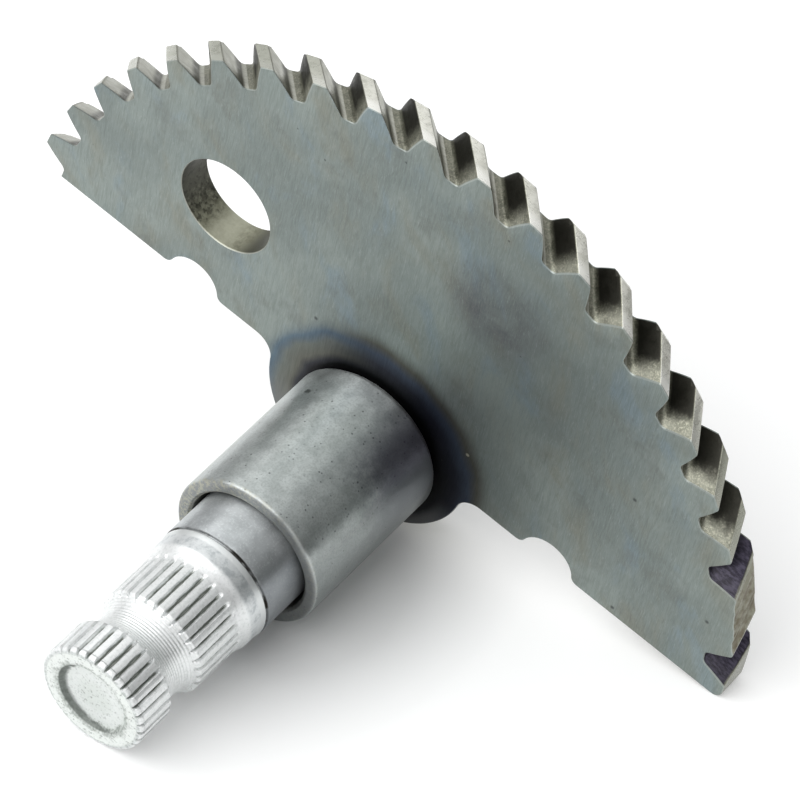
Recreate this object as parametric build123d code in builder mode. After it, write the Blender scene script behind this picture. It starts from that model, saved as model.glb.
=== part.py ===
"""Kickstart shaft: a helical gear sector on a short splined shaft, with a plain sleeve.

The part lies on its side as it comes to rest: on the rim of the hub lobe, on the right-hand
corner of the sector and on the rim of the splined end. Millimetres, +Z up, floor at Z = 0.
"""

import os
from math import acos, asin, atan, atan2, cos, degrees, hypot, pi, radians, sin, sqrt, tan

from build123d import *

# Gear teeth
teeth_full_circle = 43          # teeth that a whole gear of this pitch would have
normal_module = 1.5
pressure_angle = 20.0           # degrees, square to the tooth
helix_angle = 45.0              # degrees, at the pitch circle
addendum = 1.5
dedendum = 1.62
root_fillet = 0.35
first_tooth_angle = 171.9       # degrees from the sector's right-hand side
teeth_cut_full = 19             # spaces in a row, counted from the first tooth's outer side
spaces_left_uncut = 1           # makes the double-wide tooth
end_spaces = 1                  # after the double-wide tooth
overrun = 1.0                   # the cutter runs past both faces and past the tips

# Sector plate
plate_thickness = 4.4
chord_height = 2.3              # straight edge of the sector, above the shaft's axis
lobe_radius = 13.1
lobe_center = (-0.7, 1.5)
lobe_blend = 2.5                # hollow corner between lobe and straight edge
notch_radius = 3.3
notch_spacing = 48.9            # between the centres of the two notches
notch_drop = 0.25               # notch centres below the straight edge
notch_blend = 1.0
end_corner_radius = 1.1         # rounded end of the sector that touches the floor
rim_chamfer = 0.65              # turned on the blank's back rim before the teeth are cut
spring_hole_diameter = 11.7
spring_hole_polar = (29.6, 145.2)
edge_break = 0.25               # deburred edges of the hole

# Shaft, stations measured from the plate's front face
seat_diameter = 12.0            # the stub that sits in the plate
seat_clearance = 0.01
seat_chamfer = 0.5
journal_diameter = 14.1
journal_length = 26.2
relief_width = 0.35             # narrow turned groove at the journal's end
relief_depth = 0.3
bevel_length = 0.7
bevel_drop = 0.15
collar_length = 1.6
cone_length = 1.7
spline_diameter = 13.0
first_spline_length = 6.0
neck_length = 5.0               # rounded groove that clears the lever's pinch bolt
neck_depth = 1.15
neck_steps = (-1, -0.64, -0.28, 0.28, 0.64, 1)      # where its flats meet, in half lengths
last_spline_length = 4.75
end_chamfer = 0.4
dish_diameter = 8.6
dish_depth = 0.6
dish_edge = 0.35

# Splines
spline_count = 32
spline_clocking = 7.6           # degrees, first groove from the sector's straight edge
groove_depth = 0.5
groove_floor_width = 0.2
groove_flank_angle = 25.0       # degrees, each side from the radius
groove_overrun = 0.4            # the cutter stands this far proud of the splines

# Sleeve
sleeve_gap = 0.45               # between the journal and the sleeve's bore
sleeve_wall = 1.7
sleeve_length = 21.0
sleeve_edge_chamfer = 0.4       # the open end's outer edge
sleeve_foot_chamfer = 0.6       # at the plate, leaves a narrow dark line round the sleeve
sleeve_bore_chamfer = 0.35

# Worked out from the sizes above
pitch_angle = 360 / teeth_full_circle
pitch_radius = teeth_full_circle * normal_module / cos(radians(helix_angle)) / 2
tip_radius = pitch_radius + addendum
root_radius = pitch_radius - dedendum
plane_pressure_angle = atan(tan(radians(pressure_angle)) / cos(radians(helix_angle)))
base_radius = pitch_radius * cos(plane_pressure_angle)
helix_turn = degrees(plate_thickness * tan(radians(helix_angle)) / pitch_radius)

journal_radius = journal_diameter / 2
sleeve_bore_radius = journal_radius + sleeve_gap
sleeve_radius = sleeve_bore_radius + sleeve_wall
spline_radius = spline_diameter / 2
end_rim_radius = spline_radius - end_chamfer
collar_start = journal_length + relief_width + bevel_length
cone_start = collar_start + collar_length
first_spline_start = cone_start + cone_length
neck_start = first_spline_start + first_spline_length
last_spline_start = neck_start + neck_length
shaft_tip = last_spline_start + last_spline_length

chord_end = sqrt(tip_radius**2 - chord_height**2)
notch_height = chord_height - notch_drop
groove_mouth_width = groove_floor_width
groove_mouth_width += 2 * (groove_depth + groove_overrun) * tan(radians(groove_flank_angle))

# Resting pose
# Seen along the shaft, the floor is the straight line that touches the lobe's circle and the
# circle of the rounded end corner. Seen from the side it touches the lobe and the splined end.
corner_height = chord_height + end_corner_radius
corner_reach = sqrt((tip_radius - end_corner_radius) ** 2 - corner_height**2)
to_corner_x = corner_reach - lobe_center[0]
to_corner_y = corner_height - lobe_center[1]
roll = atan2(to_corner_y, to_corner_x)
roll += asin((lobe_radius - end_corner_radius) / hypot(to_corner_x, to_corner_y))

# Distance from the shaft's axis down to the floor line, at the plate
axis_over_floor = lobe_radius - (lobe_center[1] * cos(roll) - lobe_center[0] * sin(roll))
# The shaft dips until the first rim on it reaches the floor: the splined end's or the sleeve's
end_rim_dip = (axis_over_floor - spline_radius) / (shaft_tip - end_chamfer)
sleeve_rim_dip = (axis_over_floor - sleeve_radius) / (sleeve_length - sleeve_edge_chamfer)
dip = atan(min(end_rim_dip, sleeve_rim_dip))

# The shaft's frame: its z runs towards the splined end, down by the dip, and its x towards the
# low corner of the sector
shaft_z = Vector(0, -cos(dip), -sin(dip))
flat_x = Vector(1, 0, 0)
upright = shaft_z.cross(flat_x)
plate_x = flat_x * cos(roll) - upright * sin(roll)
lift = axis_over_floor * cos(dip)

# Centred over the origin: the sector's ends set the width, and the lobe's back rim and the
# splined end set the depth
left_end_x = -chord_end * cos(roll) + chord_height * sin(roll)
center_x = (tip_radius + left_end_x) / 2
back_y = plate_thickness * cos(dip) + axis_over_floor * sin(dip)
front_y = -shaft_tip * cos(dip) - end_rim_radius * sin(dip)
center_y = (back_y + front_y) / 2

shaft_plane = Plane(origin=(-center_x, -center_y, lift), x_dir=plate_x, z_dir=shaft_z)
# A plane that holds the shaft's axis: its x is the radius, its y runs along the shaft
turning_plane = Plane(
    origin=shaft_plane.origin, x_dir=shaft_plane.x_dir, z_dir=-shaft_plane.y_dir
)
shaft_axis = Axis(shaft_plane.origin, shaft_plane.z_dir)


def involute_half_angle(radius):
    """Half of a tooth's angle at a radius, in degrees, from the involute of the base circle."""
    at_pitch = tan(plane_pressure_angle) - plane_pressure_angle
    roll_angle = acos(base_radius / radius)
    here = tan(roll_angle) - roll_angle
    return degrees(pi / (2 * teeth_full_circle) + at_pitch - here)


def neck_point(step):
    """A point of the neck's profile: its round hollow, turned as a few flats in a row."""
    half_length = neck_length / 2
    hollow_radius = (half_length**2 + neck_depth**2) / (2 * neck_depth)
    drop = sqrt(hollow_radius**2 - (step * half_length) ** 2) - (hollow_radius - neck_depth)
    return (spline_radius - drop, neck_start + (1 + step) * half_length)


def polar(radius, angle):
    """A point of the sketch plane from its radius and its angle in degrees."""
    return (radius * cos(radians(angle)), radius * sin(radians(angle)))


# Tooth space: the cutter's shape, a helical gap centred on the x axis
overrun_turn = helix_turn * overrun / plate_thickness
mouth_radius = tip_radius + overrun
cutter_faces = [
    Plane.XY.offset(overrun).rotated((0, 0, -overrun_turn)),
    Plane.XY.offset(-plate_thickness - overrun).rotated((0, 0, helix_turn + overrun_turn)),
]
flank_radii = [mouth_radius, pitch_radius, root_radius]
flank_angles = [pitch_angle / 2 - involute_half_angle(r) for r in flank_radii]
upper_flank = [polar(r, a) for r, a in zip(flank_radii, flank_angles)]
lower_flank = [polar(r, -a) for r, a in zip(flank_radii, flank_angles)]

with BuildPart() as tooth_space:
    for face_plane in cutter_faces:
        with BuildSketch(face_plane) as space_profile:
            with BuildLine():
                ThreePointArc(upper_flank[0], upper_flank[1], upper_flank[2])
                ThreePointArc(upper_flank[2], polar(root_radius, 0), lower_flank[2])
                ThreePointArc(lower_flank[2], lower_flank[1], lower_flank[0])
                Line(lower_flank[0], upper_flank[0])
            make_face()
            fillet(space_profile.vertices().sort_by(Axis.X)[:2], root_fillet)
    loft(ruled=True)

# Sector gear
with BuildPart(shaft_plane) as sector_gear:
    with BuildSketch(shaft_plane) as plate_outline:
        Circle(tip_radius)
        with Locations((0, chord_height)):
            Rectangle(
                3 * tip_radius, 3 * tip_radius, align=(Align.CENTER, Align.MAX), mode=Mode.SUBTRACT
            )
        with Locations(lobe_center):
            Circle(lobe_radius)
        with Locations((lobe_center[0], notch_height)):
            with GridLocations(notch_spacing, 0, 2, 1):
                Circle(notch_radius, mode=Mode.SUBTRACT)
        corners = plate_outline.vertices().sort_by(Axis.X)
        fillet(corners[1:3] + corners[5:7], notch_blend)
        fillet(plate_outline.vertices().sort_by_distance(lobe_center)[:2], lobe_blend)
        fillet(plate_outline.vertices().sort_by(Axis.X)[-1], end_corner_radius)
    extrude(amount=-plate_thickness)

    # The blank's back rim is chamfered before the teeth are cut
    with BuildSketch(turning_plane) as rim_cut:
        with BuildLine():
            Polyline(
                (tip_radius - rim_chamfer, -plate_thickness),
                (tip_radius + overrun, -plate_thickness),
                (tip_radius + overrun, -plate_thickness + rim_chamfer + overrun),
                close=True,
            )
        make_face()
    revolve(axis=shaft_axis, mode=Mode.SUBTRACT)

    # Teeth: a row of spaces, one place left uncut, and the last space near the end
    first_space = first_tooth_angle + pitch_angle / 2
    row_span = -pitch_angle * (teeth_cut_full - 1)
    with PolarLocations(0, teeth_cut_full, first_space, row_span, endpoint=True):
        add(tooth_space.part, mode=Mode.SUBTRACT)
    last_space = first_space - pitch_angle * (teeth_cut_full + spaces_left_uncut)
    with PolarLocations(0, end_spaces, last_space):
        add(tooth_space.part, mode=Mode.SUBTRACT)

    # Bore for the shaft's stub, and the hole for the spring's hook
    Hole(seat_diameter / 2 + seat_clearance)
    with PolarLocations(spring_hole_polar[0], 1, spring_hole_polar[1]):
        Hole(spring_hole_diameter / 2)
    hole_rims = sector_gear.edges(Select.LAST).filter_by(GeomType.CIRCLE)
    chamfer(hole_rims, edge_break)

# Kick shaft
with BuildPart(shaft_plane) as kick_shaft:
    with BuildSketch(turning_plane) as turned_profile:
        with BuildLine():
            Polyline(
                (0, -plate_thickness),
                (seat_diameter / 2 - seat_chamfer, -plate_thickness),
                (seat_diameter / 2, -plate_thickness + seat_chamfer),
                (seat_diameter / 2, 0),
                (journal_radius, 0),
                (journal_radius, journal_length),
                (journal_radius - relief_depth, journal_length),
                (journal_radius - relief_depth, journal_length + relief_width),
                (journal_radius, journal_length + relief_width),
                (journal_radius - bevel_drop, collar_start),
                (journal_radius - bevel_drop, cone_start),
                (spline_radius, first_spline_start),
                *[neck_point(step) for step in neck_steps],
                (spline_radius, shaft_tip - end_chamfer),
                (end_rim_radius, shaft_tip),
                (dish_diameter / 2, shaft_tip),
                (dish_diameter / 2 - dish_edge, shaft_tip - dish_depth),
                (0, shaft_tip - dish_depth),
                close=True,
            )
        make_face()
    revolve(axis=shaft_axis)

    # Spline grooves, cut from the end through both lands, ending square against the cone
    with BuildSketch(shaft_plane.offset(first_spline_start)) as groove_profiles:
        with PolarLocations(spline_radius + groove_overrun, spline_count, spline_clocking):
            Trapezoid(
                groove_mouth_width,
                groove_depth + groove_overrun,
                90 - groove_flank_angle,
                rotation=90,
                align=(Align.CENTER, Align.MIN),
            )
    extrude(amount=shaft_tip - first_spline_start, mode=Mode.SUBTRACT)

# Spring sleeve
with BuildPart(shaft_plane) as spring_sleeve:
    with BuildSketch(shaft_plane):
        Circle(sleeve_radius)
        Circle(sleeve_bore_radius, mode=Mode.SUBTRACT)
    extrude(amount=sleeve_length)
    rims = spring_sleeve.edges().filter_by(GeomType.CIRCLE).group_by(SortBy.RADIUS)
    outer_rims = rims[-1].sort_by(shaft_axis)
    bore_rims = rims[0].sort_by(shaft_axis)
    chamfer(outer_rims[-1], sleeve_edge_chamfer)
    chamfer(outer_rims[0], sleeve_foot_chamfer)
    chamfer(bore_rims[-1], sleeve_bore_chamfer)

# Write the pieces
os.makedirs("parts", exist_ok=True)
for name, piece in (
    ("sector_gear", sector_gear),
    ("kick_shaft", kick_shaft),
    ("spring_sleeve", spring_sleeve),
):
    piece.part.label = name
    export_step(piece.part, f"parts/{name}.step")
    box = piece.part.bounding_box()
    print(name, len(piece.part.solids()), round(piece.part.volume, 1), box.min, box.max)
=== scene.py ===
# %% [markdown]
# # A kickstart shaft in steel
#
# The part is a half-round helical gear on a short shaft. The shaft carries a plain sleeve and ends
# in a splined head for the kick lever. The exact solids come from model.glb, and this lesson dresses
# them: every visible surface is worked out again with numpy, fine enough for rounded edges, and gets
# a steel finish made of nodes.

from math import asin, atan, atan2, cos, degrees, pi, radians, sin, sqrt, tan

import bmesh
import bpy
import numpy as np
from mathutils import Matrix, Vector
from mathutils.geometry import delaunay_2d_cdt


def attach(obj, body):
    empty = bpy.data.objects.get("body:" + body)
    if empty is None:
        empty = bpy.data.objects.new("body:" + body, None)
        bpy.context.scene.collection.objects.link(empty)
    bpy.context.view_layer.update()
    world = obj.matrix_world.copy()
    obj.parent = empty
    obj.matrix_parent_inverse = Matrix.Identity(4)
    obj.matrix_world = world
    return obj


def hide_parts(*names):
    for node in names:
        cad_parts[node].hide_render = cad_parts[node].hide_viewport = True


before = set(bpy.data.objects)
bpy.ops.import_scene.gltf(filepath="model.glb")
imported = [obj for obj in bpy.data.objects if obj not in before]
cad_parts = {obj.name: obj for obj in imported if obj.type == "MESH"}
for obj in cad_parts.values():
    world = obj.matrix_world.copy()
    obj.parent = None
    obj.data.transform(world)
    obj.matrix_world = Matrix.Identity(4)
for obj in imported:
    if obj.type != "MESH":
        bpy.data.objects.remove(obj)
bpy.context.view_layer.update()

# %% [markdown]
# ## Where the shaft lies
#
# The part rests on its side, so its own axes are tilted in the room. It is easiest to model in the
# plate's own coordinates, in millimetres: the origin on the shaft's axis at the plate's front face,
# z along the shaft towards the splines, and the plate's straight edge along x. One small function
# turns those into metres in the room, so no object is ever moved.

# %% The plate's own axes in the room
MM = 0.001
shaft_foot = np.array([-1.42747, 20.54083, 11.39356])
roll, dip = radians(17.25110), radians(6.16737)

shaft_way = np.array([0.0, -cos(dip), -sin(dip)])
level = np.array([1.0, 0.0, 0.0])
upright = np.cross(shaft_way, level)
plate_right = level * cos(roll) - upright * sin(roll)
plate_up = np.cross(shaft_way, plate_right)
plate_axes = np.stack([plate_right, plate_up, shaft_way])


def in_room(points):
    """Metres in the room: the foot's place plus each plate coordinate times its own axis."""
    return (shaft_foot + np.asarray(points, float) @ plate_axes) * MM


print("shaft points to", shaft_way.round(3), "plate's x is", plate_right.round(3))

# %% [markdown]
# ## From arrays to a mesh
#
# A surface is a grid of points, one row after another. Its faces are the same little square of
# indices repeated, so they come from one array sum too. Blender takes the arrays whole through
# foreach_set, which is far quicker than a loop. Points that fall together, as at a pole, are merged
# afterwards, and edges sharper than a given angle are marked so that only true edges look sharp.


# %% Faces of a grid
def grid_quads(rows, columns, closed=False, first=0):
    """Corner indices of a grid's squares, counted from first. Each row joins its own end, and closed
    also joins the last row to the first."""
    r, c = np.meshgrid(np.arange(rows if closed else rows - 1), np.arange(columns), indexing="ij")
    r_next, c_next = (r + 1) % rows, (c + 1) % columns
    corners = ((r, c), (r, c_next), (r_next, c_next), (r_next, c))
    quads = np.stack([row * columns + column for row, column in corners], -1)
    return quads.reshape(-1, 4) + first


print("faces of a closed grid of 2 by 3:", grid_quads(2, 3, closed=True).tolist())


# %% Meshes from arrays
def merge_points(mesh):
    """Merge points that fall together, drop edges without length and turn all faces outwards.
    Returns how many edges stay open."""
    same_place, no_length = 0.0004 * MM, 0.0002 * MM
    work = bmesh.new()
    work.from_mesh(mesh)
    bmesh.ops.remove_doubles(work, verts=work.verts, dist=same_place)
    bmesh.ops.dissolve_degenerate(work, edges=work.edges, dist=no_length)
    bmesh.ops.recalc_face_normals(work, faces=work.faces)
    work.to_mesh(mesh)
    open_edges = sum(not edge.is_manifold for edge in work.edges)
    work.free()
    return open_edges


def make_piece(name, points, quads, sharp, triangles=(), attributes=None, finish_numbers=None):
    """A mesh object from plate points in millimetres and its faces. Edges that turn by more than
    sharp degrees look sharp. attributes holds one value per point under each name, and
    finish_numbers one number per face. Triangles are flat parts, and only quads are smooth there."""
    triangles = np.asarray(triangles, int).reshape(-1, 3)
    corners = np.concatenate([np.ravel(quads), triangles.ravel()])
    sizes = np.concatenate([np.full(len(quads), 4), np.full(len(triangles), 3)])
    mesh = bpy.data.meshes.new(name)
    mesh.vertices.add(len(points))
    mesh.vertices.foreach_set("co", in_room(points).astype(np.float32).ravel())
    mesh.loops.add(len(corners))
    mesh.loops.foreach_set("vertex_index", corners.astype(np.int32))
    mesh.polygons.add(len(sizes))
    mesh.polygons.foreach_set("loop_start", (np.cumsum(sizes) - sizes).astype(np.int32))
    if finish_numbers is not None:
        mesh.polygons.foreach_set("material_index", np.asarray(finish_numbers, np.int32))
    mesh.update(calc_edges=True)
    for key, values in (attributes or {}).items():
        layer = mesh.attributes.new(key, "FLOAT", "POINT")
        layer.data.foreach_set("value", np.asarray(values, np.float32).ravel())
    open_edges = merge_points(mesh)
    sides = np.empty(len(mesh.polygons), np.int32)
    mesh.polygons.foreach_get("loop_total", sides)
    mesh.polygons.foreach_set("use_smooth", (sides > 3) | (len(triangles) == 0))
    mesh.set_sharp_from_angle(angle=radians(sharp))
    piece = bpy.data.objects.new(name, mesh)
    bpy.context.scene.collection.objects.link(piece)
    print(name, len(mesh.vertices), "points,", len(mesh.polygons), "faces, open edges:", open_edges)
    return piece


# %% [markdown]
# ## The sector's outline
#
# The plate is a helical gear cut back to a half circle. Each tooth space is an involute: the curve
# that a taut string's end draws as it unwinds from a circle. Going round the rim, one space is a
# short list of angles and radii, and the whole rim is that list repeated. The straight edge, its two
# notches and the hub lobe are lines and arcs that touch each other.

# %% Sizes of the teeth, in millimetres and degrees
teeth_full_circle = 43
module, helix_angle, pressure_angle = 1.5, radians(45), radians(20)
root_drop = 1.62
pitch_angle = 360 / teeth_full_circle
pitch_radius = teeth_full_circle * module / cos(helix_angle) / 2
tip_radius = pitch_radius + module
root_radius = pitch_radius - root_drop
plane_pressure_angle = atan(tan(pressure_angle) / cos(helix_angle))
base_radius = pitch_radius * cos(plane_pressure_angle)
plate_thickness = 4.4
helix_turn = degrees(plate_thickness * tan(helix_angle) / pitch_radius)
rim_chamfer = 0.65
left_tooth = 171.9
spaces_from_left = np.array([20, *range(18, -1, -1)])  # number 19 was left uncut
space_angles = left_tooth + pitch_angle / 2 - pitch_angle * spaces_from_left


def space_half_angle(radius):
    """Half a space's width in degrees: half the pitch less the involute tooth's half angle. That is
    a quarter pitch at the pitch circle, and changes by the tangent of the unwound angle less the
    angle itself."""
    unwound = np.arccos(base_radius / radius)
    at_pitch = tan(plane_pressure_angle) - plane_pressure_angle
    tooth = pi / (2 * teeth_full_circle) + at_pitch - (np.tan(unwound) - unwound)
    return pitch_angle / 2 - np.degrees(tooth)


print("tooth spaces:", len(space_angles), "tip radius:", round(tip_radius, 2))


# %% One tooth space as angles and radii
def bend(start, corner, end, steps):
    """A rounded corner: points of the quadratic curve from start to end that leans to corner."""
    t = np.linspace(0, 1, steps)[:, None]
    start, corner, end = (np.array(p, float) for p in (start, corner, end))
    return (1 - t) ** 2 * start + 2 * t * (1 - t) * corner + t**2 * end


def half_space():
    """One side of a space from the tip to the root: angles from the space's middle, and radii."""
    worn, hollow = 0.16, 0.5
    high, low = tip_radius - worn, root_radius + hollow
    at_tip, at_root = space_half_angle(tip_radius), space_half_angle(root_radius)
    tip_turn, root_turn = degrees(worn / tip_radius), degrees(hollow / root_radius)
    tip_edge = bend((at_tip + tip_turn, tip_radius), (at_tip, tip_radius),
                    (space_half_angle(high), high), 4)
    radii = np.linspace(high, low, 7)[1:-1]
    flank = np.stack([space_half_angle(radii), radii], 1)
    root_edge = bend((space_half_angle(low), low), (at_root, root_radius),
                     (at_root - root_turn, root_radius), 6)
    return np.concatenate([tip_edge, flank, root_edge])


half = half_space()
space = np.concatenate([half * [-1, 1], half[::-1]])
space_facing = np.repeat([-1.0, 1.0], len(half))
print("points in one space:", len(space))


# %% The whole toothed rim
def toothed_rim():
    """Angles, radii and facing of the toothed rim's points, from the low corner round to the left
    end. Facing is -1 or 1 on a tooth's two flanks. The wide tooth, where one space was left uncut,
    gets a rough crown, a sum of three sine waves, with a facing of 2."""
    crown_points, crown_depth = 32, 0.22
    angles = (space_angles[:, None] + space[None, :, 0]).ravel()
    radii = np.tile(space[:, 1], len(space_angles))
    facing = np.tile(space_facing, len(space_angles))
    cut = len(space)
    crown = np.linspace(angles[cut - 1], angles[cut], crown_points + 2)[1:-1]
    across = np.linspace(-1, 1, crown_points)
    rough = (0.06 * np.sin(7.3 * across + 0.4) + 0.03 * np.sin(19 * across)
             + 0.015 * np.sin(41 * across + 1))
    sunk = tip_radius - (crown_depth + rough) * (1 - across**8)
    on_crown = np.full(crown_points, 2.0)
    return [np.concatenate([whole[:cut], part, whole[cut:]])
            for whole, part in ((angles, crown), (radii, sunk), (facing, on_crown))]


rim_angles, rim_radii, rim_facing = toothed_rim()
print("rim points:", len(rim_angles))


# %% Arcs and the edge below the teeth
chord_height = 2.3
lobe_center, lobe_radius, lobe_blend = (-0.7, 1.5), 13.1, 2.5
notch_radius, notch_spacing, notch_drop, notch_blend = 3.3, 48.9, 0.25, 1.0
corner_round = 1.1


def arc(center, radius, start, end, steps):
    """Points of a circle's arc between two angles in degrees."""
    a = np.radians(np.linspace(start, end, steps))
    return np.stack([center[0] + radius * np.cos(a), center[1] + radius * np.sin(a)], 1)


def notch(center_x):
    """One notch: a rounded corner, the hollow, and the other corner, each touching the next."""
    reach, rise = notch_radius + notch_blend, notch_blend + notch_drop
    run, lean = sqrt(reach**2 - rise**2), degrees(asin(rise / reach))
    top = chord_height + notch_blend
    return np.concatenate([
        arc((center_x - run, top), notch_blend, -90, -lean, 7),
        arc((center_x, chord_height - notch_drop), notch_radius, 180 - lean, lean, 25)[1:-1],
        arc((center_x + run, top), notch_blend, 180 + lean, 270, 7)])


def lobe():
    """The hub lobe between its two hollow corners, all touching the straight edge."""
    low, reach = chord_height - lobe_blend, lobe_radius + lobe_blend
    rise = lobe_center[1] - low
    run, lean = sqrt(reach**2 - rise**2), degrees(asin(rise / reach))
    return np.concatenate([
        arc((lobe_center[0] - run, low), lobe_blend, 90, lean, 12),
        arc(lobe_center, lobe_radius, 180 + lean, 360 - lean, 90)[1:-1],
        arc((lobe_center[0] + run, low), lobe_blend, 180 - lean, 90, 12)])


corner_x = sqrt((tip_radius - corner_round) ** 2 - (chord_height + corner_round) ** 2)
corner_angle = degrees(atan2(chord_height + corner_round, corner_x))
low_edge = np.concatenate([
    notch(lobe_center[0] - notch_spacing / 2),
    lobe(),
    notch(lobe_center[0] + notch_spacing / 2),
    arc((corner_x, chord_height + corner_round), corner_round, -90, corner_angle, 12)])
print("low edge points:", len(low_edge))


# %% [markdown]
# ## The rim as a stack of outlines
#
# At each depth the teeth are the same outline turned a little further, which makes the helix. The
# straight edge doesn't turn, so where a turned tooth would pass the end of the straight edge, its
# points are gathered at the crossing. A small inset on the first and last rows rounds the plate's
# edges, and the blank's back rim keeps its turned chamfer.


# %% Outline at one depth
def outline_at(depth):
    """The closed outline at a depth below the front face: the rim turned by the helix, cut where it
    meets the straight edge, joined to the low edge."""
    angles = np.radians(rim_angles + helix_turn * depth / plate_thickness)
    limit = tip_radius - max(0.0, depth - (plate_thickness - rim_chamfer))
    radii = np.minimum(rim_radii, limit)
    teeth = np.stack([radii * np.cos(angles), radii * np.sin(angles)], 1)
    below = np.flatnonzero((teeth[:, 1] < chord_height) & (teeth[:, 0] < 0))
    if len(below):
        a, b = teeth[below[0] - 1], teeth[below[0]]
        teeth[below[0]:] = a + (b - a) * (chord_height - a[1]) / (b[1] - a[1])
    far = np.hypot(low_edge[:, 0], low_edge[:, 1])
    low = low_edge * np.where(far > limit, limit / far, 1.0)[:, None]
    chord = np.linspace(teeth[-1], (low[0, 0], chord_height), 8)[1:-1]
    corner_side = arc((0, 0), limit, corner_angle, degrees(angles[0]), 9)[1:-1]
    return np.concatenate([teeth, chord, low, corner_side])


def lengths(vectors):
    """Length of each vector in the plate's plane."""
    return np.hypot(vectors[..., 0], vectors[..., 1])


def outward(edges):
    """Unit normal of each edge, a quarter turn to its right."""
    return np.stack([edges[:, 1], -edges[:, 0]], 1) / lengths(edges)[:, None]


def inset(outline, distance):
    """The outline moved inwards: each point goes back along the mean normal of its two edges,
    lengthened at corners, where points that coincide borrow the nearest real edge. A short edge that
    the move turns round is closed up, so the outline never crosses itself."""
    shortest_edge, same_place = 1e-5, 1e-6
    ahead = np.roll(outline, -1, 0) - outline
    real = np.flatnonzero(lengths(ahead) > shortest_edge)
    next_real = np.searchsorted(real, np.arange(len(outline)))
    normal = outward(ahead[real[next_real % len(real)]])
    mean = normal + outward(ahead[real[(next_real - 1) % len(real)]])
    mean /= np.maximum(lengths(mean)[:, None], 0.2)
    stretch = 1 / np.clip((mean * normal).sum(1), 0.6, 1.0)
    moved = outline - distance * mean * stretch[:, None]
    for i in np.flatnonzero(((np.roll(moved, -1, 0) - moved) * ahead).sum(1) < 0):
        a, b = moved[i].copy(), moved[(i + 1) % len(moved)].copy()
        near = np.minimum(lengths(moved - a), lengths(moved - b)) < same_place
        moved[near] = (a + b) / 2
    return moved


front = outline_at(0.0)
columns = len(front)
print("outline points:", columns, "left end:", front[len(rim_angles) - 1].round(2))

# %% The rim's rows
edge_round = 0.14
part_way = 0.3 * edge_round
straight = np.linspace(edge_round, plate_thickness - rim_chamfer, 8)
depths_and_insets = [
    (0, edge_round), (part_way, part_way), *[(depth, 0) for depth in straight],
    (plate_thickness - edge_round, 0), (plate_thickness - part_way, part_way),
    (plate_thickness, edge_round)]
rim = [np.column_stack([inset(outline_at(depth), back), np.full(columns, -depth)])
       for depth, back in depths_and_insets]
print("rows:", len(rim), "of", columns, "points")

# %% Walls of the two holes
hole_sides = 96
hole_angle, hole_reach, hole_radius = radians(145.2), 29.6, 5.85
hole_center = (hole_reach * cos(hole_angle), hole_reach * sin(hole_angle))
seat_radius = 6.01


def hole_rows(center, radius, lip):
    """A round hole's wall: a lip, the straight wall, and the far lip."""
    rows = []
    for depth, wider in ((0, lip), (lip, 0), (plate_thickness - lip, 0), (plate_thickness, lip)):
        ring = arc(center, radius + wider, 0, 360, hole_sides + 1)[:-1]
        rows.append(np.column_stack([ring, np.full(hole_sides, -depth)]))
    return rows


plate_hole = hole_rows(hole_center, hole_radius, 0.12)
seat_bore = hole_rows((0.0, 0.0), seat_radius, 0.05)
print("hole at", np.round(hole_center, 2))

# %% [markdown]
# The flat faces between the rim and the holes could each be one big many-sided face, but Blender
# would cut it into long thin triangles, which catch the light as faint lines. A constrained Delaunay
# triangulation keeps the outlines, and a lattice of inner points keeps its triangles small and even.


# %% The flat faces between them
def inside_rings(places, rings):
    """True for each place inside the first ring and outside the others: a line from it towards +x
    crosses their edges an odd number of times."""
    crossings = 0
    for ring in rings:
        ax, ay = ring[:, 0], ring[:, 1]
        bx, by = np.roll(ax, -1), np.roll(ay, -1)
        x, y = places[:, :1], places[:, 1:2]
        spans = (ay > y) != (by > y)
        cross_x = ax + (y - ay) * (bx - ax) / np.where(by == ay, 1.0, by - ay)
        crossings = crossings + (spans & (x < cross_x)).sum(1)
    return crossings % 2 == 1


def lattice_inside(rings):
    """Inner points in staggered rows, none of them close to a ring."""
    spacing = 1.7
    row_step, clear = spacing * 0.87, 0.6 * spacing
    low, high = rings[0].min(0), rings[0].max(0)
    x, y = np.meshgrid(np.arange(low[0], high[0], spacing), np.arange(low[1], high[1], row_step))
    x = x + spacing / 2 * (np.arange(len(x)) % 2)[:, None]
    lattice = np.stack([x.ravel(), y.ravel()], 1)
    lattice = lattice[inside_rings(lattice, rings)]
    gaps = lengths(lattice[:, None] - np.concatenate(rings)[None]).min(1)
    return lattice[gaps > clear]


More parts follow.
